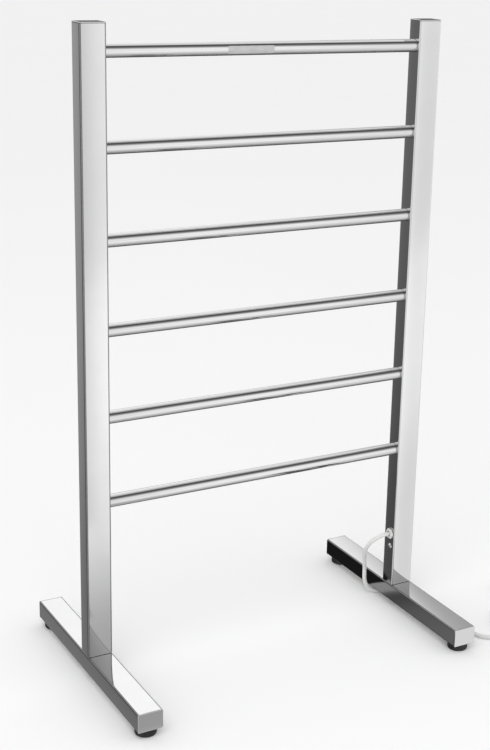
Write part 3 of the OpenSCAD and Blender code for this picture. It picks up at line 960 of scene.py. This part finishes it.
class RACK_OT_bars(bpy.types.Operator):
    """Set the heated bars between the posts, one tube repeated at the bar spacing"""
    bl_idname = "towel_rack.bars"
    bl_label = "Heated bars"

    def execute(self, context):
        low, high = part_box(BARS[0])
        last = middle(BARS[-1])
        centre = (low + high) / 2
        step = (last.z - centre.z) / (len(BARS) - 1)
        t = Tree("heated_bars", bar_count=len(BARS), first=(low.x, centre.y, centre.z),
                 step=(0.0, 0.0, step), length=high.x - low.x, radius=(high.z - low.z) / 2,
                 wall=0.001, sides=144, finish=finish("bar_steel"))
        end = t.add("ShaderNodeCombineXYZ", {"X": t.value("length")})
        axis = t.add("GeometryNodeCurvePrimitiveLine", {"End": end})
        rim = t.add("GeometryNodeCurvePrimitiveCircle",
                    {"Resolution": t.value("sides"), "Radius": t.value("radius")})
        bore = t.add("GeometryNodeCurvePrimitiveCircle", {
            "Resolution": t.value("sides"),
            "Radius": t.calc("SUBTRACT", t.value("radius"), t.value("wall"))})
        skin = t.add("GeometryNodeCurveToMesh", {"Curve": axis, "Profile Curve": rim})
        lining = t.add("GeometryNodeFlipFaces", {"Mesh": t.add(
            "GeometryNodeCurveToMesh", {"Curve": axis, "Profile Curve": bore})})
        both = t.add("GeometryNodeJoinGeometry")
        for part in (skin, lining):
            t.tree.links.new(part.outputs[0], both.inputs[0])
        line = t.add("GeometryNodeMeshLine", {
            "Count": t.value("bar_count"), "Start Location": t.value("first"),
            "Offset": t.value("step")}, mode="OFFSET")
        row = t.add("GeometryNodeInstanceOnPoints", {"Points": line, "Instance": both})
        bars = t.made("heated_bars", row)
        close_tube_ends(bars, low.x, high.x)
        dressed(bars, "bar_steel", "bar_steel", *BARS, shade=40.0)
        return {"FINISHED"}


def close_tube_ends(piece, *ends):
    """Joins the skin and the bore of each tube at its ends."""
    shape = bmesh.new()
    shape.from_mesh(piece.data)
    for x in ends:
        rims = [e for e in shape.edges if e.is_boundary
                and all(abs(v.co.x - x) < 1e-5 for v in e.verts)]
        groups = {}
        for e in rims:
            z = e.verts[0].co.z
            level = min((round(middle(b).z, 4) for b in BARS), key=lambda h: abs(h - z))
            groups.setdefault(level, []).append(e)
        for edges in groups.values():
            bmesh.ops.bridge_loops(shape, edges=edges)
    bmesh.ops.recalc_face_normals(shape, faces=shape.faces)
    shape.to_mesh(piece.data)
    shape.free()


STUD_HOLE, ACCESS_HOLE, BOLT_HOLE = 0.0045, 0.0065, 0.0033
BOLT_SPACING = 0.020


class RACK_OT_feet(bpy.types.Operator):
    """Build the two cross feet, their holes underneath and their end plates"""
    bl_idname = "towel_rack.feet"
    bl_label = "Cross feet"

    def execute(self, context):
        sizes = context.scene.towel_sizes
        for side in ("left", "right"):
            low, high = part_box(f"{side}_foot_tube")
            centre = (low + high) / 2

            def lying(u, v, w):
                return (centre.x + u, w, centre.z + v)

            # painted dark reflection: the corners of both feet take a darker steel tone in place of
            # a reflected dark line
            foot = tube(f"{side}_cross_foot", high.x - low.x, high.z - low.z, low.y, high.y,
                        lying, sizes, "foot_steel", "painted_dark_reflection")
            holes = []
            for end in ("front", "rear"):
                at = middle(f"{side}_{end}_stud")
                holes.append(round_cutter((at.x, at.y, low.z), (0, 0, 1), STUD_HOLE,
                                          CUTTER_LENGTH))
            for x in (-BOLT_SPACING / 2, BOLT_SPACING / 2):
                for z, radius in ((low.z, ACCESS_HOLE), (high.z, BOLT_HOLE)):
                    holes.append(round_cutter((centre.x + x, 0, z), (0, 0, 1), radius,
                                              CUTTER_LENGTH))
            cut(foot, holes, sizes.seam)
            dressed(foot, "foot_steel", "polished_steel", f"{side}_foot_tube")
            for end, way in (("front", -1), ("rear", 1)):
                node = f"{side}_{end}_foot_cap"
                c_low, c_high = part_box(node)
                face = c_high.y if way < 0 else c_low.y

                def plate_place(u, v, w):
                    return (centre.x + u * way, face + way * w, centre.z + v)

                plate = end_plate(f"{side}_{end}_plate", high.x - low.x, high.z - low.z,
                                  c_high.y - c_low.y, plate_place, sizes, "foot_steel")
                dressed(plate, "foot_steel", "polished_steel", node, shade=40.0)
        return {"FINISHED"}


class RACK_OT_levellers(bpy.types.Operator):
    """Make the four rubber pads and their threaded studs"""
    bl_idname = "towel_rack.levellers"
    bl_label = "Levelling feet"

    def execute(self, context):
        sizes = context.scene.towel_sizes
        for corner in CORNERS:
            low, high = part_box(f"{corner}_pad")
            at = (low + high) / 2
            r, h = (high.x - low.x) / 2, high.z

            def about(u, v, w):
                return (at.x + u, at.y + v, w)

            profile = [(0.0, 0.0011), (r * 0.30, 0.0011), (r * 0.34, 0.0004), (r * 0.37, 0.0),
                       (r * 0.55, 0.0), (r * 0.57, 0.0005), (r * 0.61, 0.0005), (r * 0.63, 0.0)]
            edge = 0.003
            profile += arc((r - edge, edge), edge, -90, 0, 8)
            profile += [(r, h * 0.56), (r - 0.00025, h * 0.575), (r - 0.00025, h * 0.60),
                        (r, h * 0.615)]
            top = 0.0009
            profile += arc((r - top, h - top), top, 0, 90, 5)
            profile += [(0.0062, h), (0.0058, h - 0.0004), (0.0043, h - 0.0004)]
            profile += [(0.0043, 0.0072), (0.0103, 0.0070), (0.0103, 0.0036), (0.0, 0.0036)]
            pad = turned(f"{corner}_rubber_pad", profile, about, sides=112)
            dressed(pad, "black_rubber", "black_rubber", f"{corner}_pad",
                    body=f"{corner}_pad_body", shade=34.0, weighted=False)
            stud = threaded_stud(f"{corner}_threaded_stud", f"{corner}_stud", sizes)
            dressed(stud, "zinc_plate", "zinc_plate", f"{corner}_stud",
                    body=f"{corner}_stud_body", shade=38.0, weighted=False)
        return {"FINISHED"}


def threaded_stud(name, node, sizes):
    """A flanged stud with a real helical thread above its flange, its crests truncated."""
    low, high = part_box(node)
    at = (low + high) / 2
    flange_r, flange_h = (high.x - low.x) / 2, 0.0025
    crest, root, pitch, sides, per_turn = 0.004, 0.00338, sizes.thread_pitch, 40, 8
    base = low.z + flange_h

    def place(r, a, z):
        return (at.x + r * math.cos(a), at.y + r * math.sin(a), z)

    def thread_radius(a, z):
        phase = ((z - base) / pitch - a / (2 * math.pi)) % 1.0
        wave = min(1.0, max(0.0, 1.35 - abs(phase - 0.5) * 3.6))
        fade = min(1.0, max(0.0, (high.z - 0.0003 - z) / 0.0011))
        return root + (crest - root) * wave * fade

    rows = []
    for r, z in ((flange_r * 0.5, low.z), (flange_r - 0.0004, low.z), (flange_r, low.z + 0.0004),
                 (flange_r, base - 0.0004), (flange_r - 0.0004, base), (crest + 0.0004, base)):
        rows.append([place(r, 2 * math.pi * s / sides, z) for s in range(sides)])
    steps = int((high.z - base) / pitch * per_turn)
    for k in range(steps + 1):
        z = base + (high.z - base) * k / steps
        rows.append([place(thread_radius(2 * math.pi * s / sides, z), 2 * math.pi * s / sides, z)
                     for s in range(sides)])
    return lofted(name, rows)


class RACK_OT_outlet(bpy.types.Operator):
    """Make the mains outlet, the earth screw and the blank film on the top bar"""
    bl_idname = "towel_rack.outlet"
    bl_label = "Outlet and screw"

    def execute(self, context):
        low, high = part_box("outlet_nut")
        at = (low + high) / 2

        def out_of_post(u, v, w):
            return (high.x - w, at.y - v, at.z + u)

        nut = six_sided("outlet_hex_nut", 0.016, high.x - low.x, OUTLET_HOLE,
                        out_of_post)
        dressed(nut, "white_nylon", "white_nylon", "outlet_nut", shade=28.0)

        s_low, s_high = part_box("outlet_sleeve")
        start = s_low.x
        wall = high.x

        def sleeve_place(u, v, w):
            return (w, at.y + v, at.z + u)

        bore = context.scene.towel_sizes.lead_diameter / 2 + 0.0001
        profile = [(bore, s_high.x), (bore, start + 0.006), (0.005, start + 0.006),
                   (0.005, start + 0.0003), (0.0053, start), (0.0056, start)]
        z = start + 0.0003
        while z < wall - 0.001:
            profile += [(0.006, z), (0.006, z + 0.00025), (0.0055, z + 0.0006),
                        (0.0055, z + 0.0008)]
            z += 0.0012
        inside = s_high.x
        profile += [(0.006, wall), (0.006, wall + 0.0012), (0.0085, wall + 0.0012),
                    (0.0085, wall + 0.0037), (0.006, wall + 0.0037), (0.006, inside)]
        sleeve = turned("outlet_threaded_sleeve", profile, sleeve_place, sides=80, closed=True)
        dressed(sleeve, "white_nylon", "white_nylon", "outlet_sleeve", shade=30.0,
                weighted=False)

        r_low, r_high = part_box("cord_seal_ring")
        inner, outer = bore - 0.00006, 0.00492
        mid = (inner + outer) / 2
        profile = [(inner, r_low.x + 0.0004), (mid - 0.0003, r_low.x), (mid + 0.0003, r_low.x),
                   (outer, r_low.x + 0.0004), (outer, r_high.x), (inner, r_high.x)]
        ring = turned("lead_seal", profile, sleeve_place, sides=64, closed=True)
        dressed(ring, "grey_seal", "grey_seal", "cord_seal_ring", shade=40.0, weighted=False)

        g_low, g_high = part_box("outlet_seal")
        outer = (g_high.z - g_low.z) / 2
        profile = [(OUTLET_HOLE, g_low.x), (outer - 0.0002, g_low.x), (outer, g_low.x + 0.0002),
                   (outer, g_high.x - 0.0001), (outer - 0.0002, g_high.x),
                   (OUTLET_HOLE, g_high.x)]
        seal = turned("outlet_flat_seal", profile, sleeve_place, sides=80, closed=True)
        dressed(seal, "grey_seal", "grey_seal", "outlet_seal", shade=40.0, weighted=False)

        screw = dome_screw("earth_dome_screw")
        dressed(screw, "bright_screw", "bright_screw", "earth_screw", shade=30.0)
        film = curved_film("blank_warning_film")
        dressed(film, "clear_film", "clear_film", "rating_film", shade=40.0, weighted=False)
        return {"FINISHED"}


def dome_screw(name):
    """A dome-headed screw with a six-sided socket, pointing into the post."""
    low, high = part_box("earth_screw")
    at = (low + high) / 2
    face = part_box("outlet_seal")[1].x
    rise, radius = face - low.x, (high.z - low.z) / 2
    ball = (radius ** 2 + rise ** 2) / (2 * rise)
    sides, socket = 96, 0.003

    def place(r, a, w):
        return (face - w, at.y + r * math.cos(a), at.z + r * math.sin(a))

    def socket_radius(a):
        return hexagon_radius(socket, a)

    rows = []
    depth, rim = rise - 0.0019, 0.00012

    def dome(r):
        return rise - ball + math.sqrt(ball ** 2 - r ** 2)

    angles = [2 * math.pi * s / sides for s in range(sides)]
    rows.append([place(socket_radius(a) * 0.35, a, depth - 0.0004) for a in angles])
    rows.append([place(socket_radius(a), a, depth) for a in angles])
    rows.append([place(socket_radius(a), a, dome(socket / 2) - rim) for a in angles])
    rows.append([place(socket_radius(a) + rim, a, dome(socket_radius(a) + rim)) for a in angles])
    for k in range(1, 11):
        r = 0.0021 + (radius - 0.0021) * math.sin(math.radians(90 * k / 10))
        rows.append([place(r, a, dome(min(r, radius))) for a in angles])
    rows.append([place(radius - 0.0001, a, 0.0) for a in angles])
    rows.append([place(0.0025, a, 0.0) for a in angles])
    tail = face - high.x
    rows.append([place(0.0025, a, tail + 0.0006) for a in angles])
    rows.append([place(0.0019, a, tail) for a in angles])
    return lofted(name, rows)


def curved_film(name):
    """A thin film with rounded corners lying on the front of the top bar."""
    low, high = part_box("rating_film")
    bar = middle(BARS[0])
    radius = extent(BARS[0]).z / 2
    thick = 0.00015
    top = math.asin(min(0.98, (high.z - bar.z) / (radius + thick)))
    bottom = math.asin(max(-0.98, (low.z - bar.z) / (radius + thick)))
    height, width, corner = (top - bottom) * radius, high.x - low.x, 0.0018
    outline = section(width, height, corner)

    def place(u, v, w):
        a = (top + bottom) / 2 + v / radius
        r = radius + w
        return ((low.x + high.x) / 2 + u, bar.y - r * math.cos(a), bar.z + r * math.sin(a))

    shape = bmesh.new()
    shape.faces.new([shape.verts.new((u, v, 0)) for u, v in outline])
    for offset, direction in ((Vector((0, s * height / 14, 0)), Vector((0, 1, 0)))
                              for s in range(-6, 7)):
        bmesh.ops.bisect_plane(shape, geom=shape.verts[:] + shape.edges[:] + shape.faces[:],
                               plane_co=offset, plane_no=direction)
    flat = [(v.co.x, v.co.y) for v in shape.verts]
    shape.verts.index_update()
    tops = [tuple(v.index for v in f.verts) for f in shape.faces]
    rims = [tuple(v.index for v in e.verts) for e in shape.edges if e.is_boundary]
    n = len(flat)
    shape.free()
    points = [place(u, v, thick) for u, v in flat] + [place(u, v, 0.0) for u, v in flat]
    faces = tops + [tuple(n + i for i in reversed(f)) for f in tops]
    faces += [(a, b, n + b, n + a) for a, b in rims]
    piece = placed(name, mesh_from(name, points, faces))
    face_outwards(piece)
    return piece


class RACK_OT_inner_parts(bpy.types.Operator):
    """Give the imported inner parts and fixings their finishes"""
    bl_idname = "towel_rack.inner_parts"
    bl_label = "Inner parts"

    def execute(self, context):
        slots = {part["node"]: part["material_slot"] for part in frame["record"]["subparts"]}
        for node, piece in frame["nodes"].items():
            material = finish(slots[node])
            if piece.material_slots:
                for holder in piece.material_slots:
                    holder.material = material
            else:
                piece.data.materials.append(material)
        return {"FINISHED"}


# ---- the stage --------------------------------------------------------------------

class Shader(Wiring):
    """Short ways to wire a stage material or the world, from an empty tree."""

    def __init__(self, owner):
        owner.use_nodes = True
        self.tree = owner.node_tree
        self.tree.nodes.clear()

    def fade(self, value, start, end, low=0.0, high=1.0):
        """A soft step from low to high as the value goes from start to end."""
        return self.add("ShaderNodeMapRange", {
            "Value": value, "From Min": start, "From Max": end, "To Min": low, "To Max": high},
            interpolation_type="SMOOTHSTEP")

    def mix(self, share, low, high):
        return self.add("ShaderNodeMix", {0: share, 2: low, 3: high}, data_type="FLOAT")

    def curve(self, value, low, high, points):
        """A level read off a curve through (where, level) points; levels run from 0 to 2."""
        share = self.add("ShaderNodeMapRange", {"Value": value, "From Min": low,
                                                "From Max": high})
        node = self.add("ShaderNodeFloatCurve", {"Value": share})
        line = node.mapping.curves[0]
        spots = [((where - low) / (high - low), level / 2) for where, level in points]
        for spot in spots[1:-1]:
            line.points.new(*spot)
        line.points[0].location, line.points[-1].location = spots[0], spots[-1]
        for point in line.points:
            point.handle_type = "AUTO_CLAMPED"
        node.mapping.update()
        return self.calc("MULTIPLY", node, 2.0)


# The world that reflections see, in levels tuned by hand; plain light falls on all else.
# By angle round the bars: 0 front, 90 above, 180 rear.
ROUND_THE_BARS = ((-180, 0.27), (-172, 0.26), (-165, 0.23), (-158, 0.19), (-150, 0.14),
                  (-120, 0.17), (-88, 0.45), (-60, 0.95), (-35, 1.2), (-27, 1.22),
                  (-22, 1.45), (-17, 1.5), (-13, 1.24), (5, 1.34), (21, 1.16), (27, 0.85),
                  (33, 0.62), (42, 0.42), (58, 0.14), (72, 0.13), (80, 0.35), (91, 1.1),
                  (125, 1.25), (155, 1.12), (167, 1.05), (171, 0.5), (175, 0.12), (180, 0.14))
# Shares of that level by bearing from the front or the rear, right positive.
ACROSS_FRONT = ((-90, 1.3), (-60, 0.9), (-20, 0.82), (6, 0.76), (14, 0.76), (18, 0.8),
                (20, 0.88), (22, 0.99), (24, 1.07), (28, 1.13), (32, 1.07), (36, 0.96),
                (40, 1.0), (52, 0.9), (66, 1.3), (90, 2.3))
ACROSS_REAR_HIGH = ((-90, 0.9), (0, 1.2), (18, 1.4), (25, 1.42), (31, 1.25), (35, 0.86),
                    (39, 0.52), (58, 0.5), (72, 0.8), (90, 1.1))
ACROSS_REAR_LOW = ((-90, 2.0), (-66, 1.9), (-46, 0.85), (-38, 0.74), (-30, 1.02), (-22, 1.8),
                   (-14, 1.95), (13, 1.95), (20, 0.8), (50, 0.75), (70, 1.4), (90, 2.0))
# tones on the floor beside the right foot, by place along it, rear last
BESIDE_FOOT = ((-0.30, 0.15), (-0.15, 0.15), (-0.093, 0.135), (-0.04, 0.115), (0.013, 0.075),
               (0.03, 0.13), (0.045, 0.29), (0.066, 0.31), (0.0735, 0.3), (0.0785, 0.012),
               (0.30, 0.012))
FOOT_END = ((-0.33, 0.42), (-0.2, 0.45))
BEFORE_POST = ((-0.64, 1.15), (-0.5, 1.0), (-0.33, 0.78), (-0.195, 0.58), (-0.1, 0.52),
               (0.06, 0.5))


class RACK_OT_stage(bpy.types.Operator):
    """Set the pale floor, the soft light and what the polished steel sees round it"""
    bl_idname = "towel_rack.stage"
    bl_label = "Studio"

    def execute(self, context):
        scene, studio = context.scene, context.scene.towel_studio
        scene.view_settings.view_transform = "Standard"
        scene.view_settings.look = "None"
        floor = self.floor(studio)
        cards = [
            self.card("beside_foot", (0.196, 0.26), (-0.30, 0.30), 0.008, 0.03, BESIDE_FOOT),
            self.card("before_post", (-0.302, 0.02), (-0.64, 0.06), 0.13, 0.13, BEFORE_POST),
            self.card("before_end", (-0.32, -0.212), (-0.33, -0.203), 0.012, 0.02, FOOT_END)]
        self.world(scene, studio)
        glow = bpy.data.lights.new("key", "AREA")
        glow.shape, glow.size, glow.energy = "DISK", 2.2, studio.key_light
        key = bpy.data.objects.new("key", glow)
        key.location = (-1.2, -1.4, 2.9)
        key.rotation_euler = (Vector((0, 0, 0.4)) - key.location).to_track_quat(
            "-Z", "Y").to_euler()
        key.visible_glossy = False
        scene.collection.objects.link(key)
        return {"FINISHED"}

    def floor(self, studio):
        shape = bmesh.new()
        bmesh.ops.create_circle(shape, cap_ends=True, segments=96, radius=60.0)
        mesh = bpy.data.meshes.new("floor")
        shape.to_mesh(mesh)
        shape.free()
        surface = bpy.data.materials.new("pale_floor")
        s = Shader(surface)
        place = s.add("ShaderNodeTexCoord").outputs["Object"]
        soft = s.add("ShaderNodeTexNoise", {"Vector": place, "Scale": 1.6, "Detail": 2.0})
        tone = s.add("ShaderNodeMapRange", {
            "Value": soft.outputs[0], "To Min": studio.floor_tone * 0.99,
            "To Max": min(1.0, studio.floor_tone * 1.01)})
        lit = s.add("ShaderNodeBsdfDiffuse", {"Color": tone})
        s.add("ShaderNodeOutputMaterial", {"Surface": lit})
        floor = placed("floor", mesh, surface)
        floor.visible_glossy = False
        return floor

    def card(self, name, across, along, soft_right, soft_front, tones):
        """A card just above the floor, seen only in reflections, its tone set along its length."""
        level = 0.0006 if name == "before_post" else 0.0009
        mesh = mesh_from(name, [(across[0], along[0], level), (across[1], along[0], level),
                                (across[1], along[1], level), (across[0], along[1], level)],
                         [(0, 1, 2, 3)])
        surface = bpy.data.materials.new(name)
        s = Shader(surface)
        way = s.add("ShaderNodeSeparateXYZ", {0: s.add("ShaderNodeTexCoord").outputs["Object"]})
        tone = s.curve(way.outputs[1], tones[0][0], tones[-1][0], tones)
        cover = 1.0
        for value, edge, soft in ((way.outputs[0], across[0], 0.006),
                                  (way.outputs[0], across[1], -soft_right),
                                  (way.outputs[1], along[0], soft_front),
                                  (way.outputs[1], along[1], -0.03)):
            cover = s.calc("MULTIPLY", s.fade(value, edge, edge + soft), cover)
        glow = s.add("ShaderNodeEmission", {"Strength": tone})
        clear = s.add("ShaderNodeBsdfTransparent")
        both = s.add("ShaderNodeMixShader", {0: cover, 1: clear, 2: glow})
        s.add("ShaderNodeOutputMaterial", {"Surface": both})
        card = placed(name, mesh, surface)
        for ray in ("camera", "diffuse", "shadow", "transmission", "volume_scatter"):
            setattr(card, f"visible_{ray}", False)
        return card

    def world(self, scene, studio):
        world = bpy.data.worlds.new("studio")
        scene.world = world
        s = Shader(world)
        way = s.add("ShaderNodeSeparateXYZ", {
            0: s.add("ShaderNodeTexCoord").outputs["Generated"]})
        x, y, z = way.outputs
        back = s.calc("MULTIPLY", y, -1.0)

        def bearing(a, b):
            return s.calc("MULTIPLY", s.calc("ARCTAN2", a, b), 180 / math.pi)

        rear = bearing(x, y)
        level = s.curve(bearing(z, back), -180, 180, ROUND_THE_BARS)
        front_share = s.curve(bearing(x, back), -90, 90, ACROSS_FRONT)
        rear_high = s.curve(rear, -90, 90, ACROSS_REAR_HIGH)
        behind = s.fade(s.calc("ABSOLUTE", rear), 17.0, 9.0, 1.0, 2.3)
        rear_low = s.calc("MULTIPLY", s.curve(rear, -90, 90, ACROSS_REAR_LOW), behind)
        rear_share = s.mix(s.fade(z, -0.05, 0.1), rear_low, rear_high)
        share = s.mix(s.fade(back, -0.15, 0.15), rear_share, front_share)
        steep = s.fade(s.calc("ABSOLUTE", z), 0.5, 0.72)
        share = s.mix(steep, share, 1.0)
        seen = s.calc("MULTIPLY", level, share)
        steel = s.add("ShaderNodeBackground", {"Strength": seen})
        even = s.add("ShaderNodeBackground", {"Strength": studio.room_light})
        glossy = s.add("ShaderNodeLightPath").outputs["Is Glossy Ray"]
        both = s.add("ShaderNodeMixShader", {0: glossy, 1: even, 2: steel})
        s.add("ShaderNodeOutputWorld", {"Surface": both})


class RACK_PT_panel(bpy.types.Panel):
    bl_label = "Towel warmer"
    bl_idname = "RACK_PT_panel"
    bl_space_type = "VIEW_3D"
    bl_region_type = "UI"
    bl_category = "Towel Warmer"

    def draw(self, context):
        layout = self.layout
        for step in STEPS:
            layout.operator(step.bl_idname)
        for group in ("towel_sizes", "towel_finish", "towel_studio"):
            box = layout.box()
            settings = getattr(context.scene, group)
            for key in type(settings).__annotations__:
                box.prop(settings, key)


STEPS = (RACK_OT_camera, RACK_OT_lead, RACK_OT_posts, RACK_OT_bars, RACK_OT_feet,
         RACK_OT_levellers, RACK_OT_outlet, RACK_OT_inner_parts, RACK_OT_stage)
GROUPS = {"towel_sizes": TowelRackSizes, "towel_finish": TowelRackFinish,
          "towel_studio": TowelRackStudio}


def register():
    for kind in (*GROUPS.values(), *STEPS, RACK_PT_panel):
        bpy.utils.register_class(kind)
    for name, kind in GROUPS.items():
        setattr(bpy.types.Scene, name, PointerProperty(type=kind))


def unregister():
    for name in GROUPS:
        delattr(bpy.types.Scene, name)
    for kind in (RACK_PT_panel, *reversed(STEPS), *GROUPS.values()):
        bpy.utils.unregister_class(kind)


def main():
    register()
    for step in STEPS:
        area, name = step.bl_idname.split(".")
        if getattr(getattr(bpy.ops, area), name)() != {"FINISHED"}:
            raise RuntimeError(f"{step.bl_label} was not finished")


if __name__ == "__main__":
    main()
